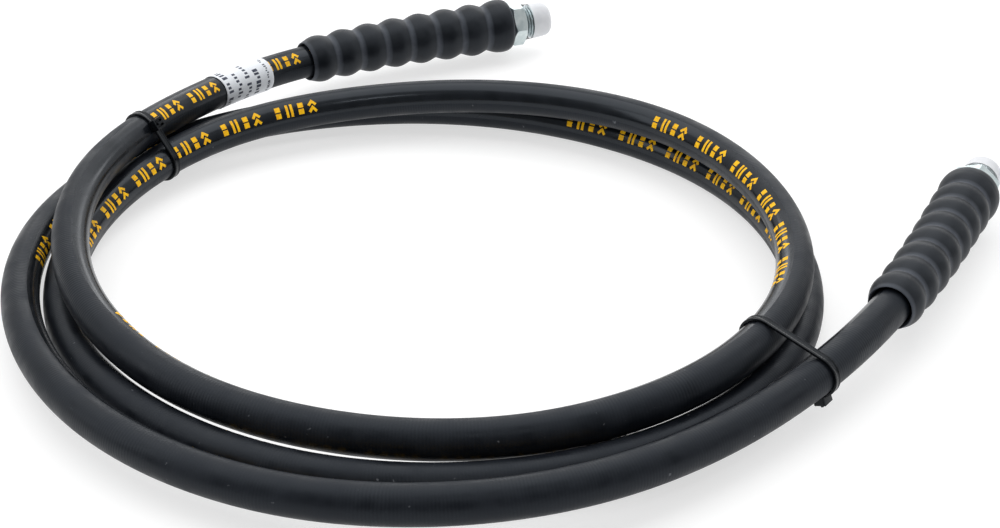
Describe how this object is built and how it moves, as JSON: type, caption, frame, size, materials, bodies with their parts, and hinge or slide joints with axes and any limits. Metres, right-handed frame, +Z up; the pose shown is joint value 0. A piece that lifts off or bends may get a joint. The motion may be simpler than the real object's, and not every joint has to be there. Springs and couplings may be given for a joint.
{
  "type": "hydraulic hose assembly",
  "caption": "Coiled wire-braided rubber hydraulic hose with crimped male pipe fittings, ribbed bend guards, push-on thread caps, a paper label and cable ties.",
  "frame": {"origin": "centre of the bounding box, on the surface that the coil lies on", "axes": "+Z up, the coil lies flat in XY; +Y away from the viewer, +X to the right; end A at the back, end B on the right"},
  "size_m": [0.4136, 0.4132, 0.0359],
  "materials": {
    "tube_rubber": "smooth black nitrile rubber",
    "braid_wire": "brass-coated steel wire braid",
    "cover_rubber": "black rubber with a fine cloth-wrapped ribbing and a smooth layline",
    "guard_rubber": "soft black moulded rubber, satin",
    "zinc_steel": "bright zinc-plated turned steel",
    "cap_plastic": "milky translucent polyethylene",
    "tie_nylon": "black nylon",
    "label_paper": null
  },
  "bodies": {
    "hose": {"hose_inner_tube": "tube_rubber", "wire_braid_inner": "braid_wire", "braid_separator": "tube_rubber", "wire_braid_outer": "braid_wire", "hose_cover": "cover_rubber", "fitting_a": "zinc_steel", "fitting_b": "zinc_steel", "crimp_ferrule_a": "zinc_steel", "crimp_ferrule_b": "zinc_steel", "bend_guard_a": "guard_rubber", "bend_guard_b": "guard_rubber", "cable_tie_left": "tie_nylon", "cable_tie_right": "tie_nylon", "paper_label": "label_paper"},
    "cap_a": {"thread_cap_a": "cap_plastic"},
    "cap_b": {"thread_cap_b": "cap_plastic"}
  },
  "joints": [
    {"name": "cap_a_pull", "type": "slide", "parent": "hose", "child": "cap_a", "axis": [0.9231, 0.3843, -0.014], "range_m": [0, 0.03]},
    {"name": "cap_b_pull", "type": "slide", "parent": "hose", "child": "cap_b", "axis": [0.4415, 0.8972, -0.0122], "range_m": [0, 0.03]}
  ]
}
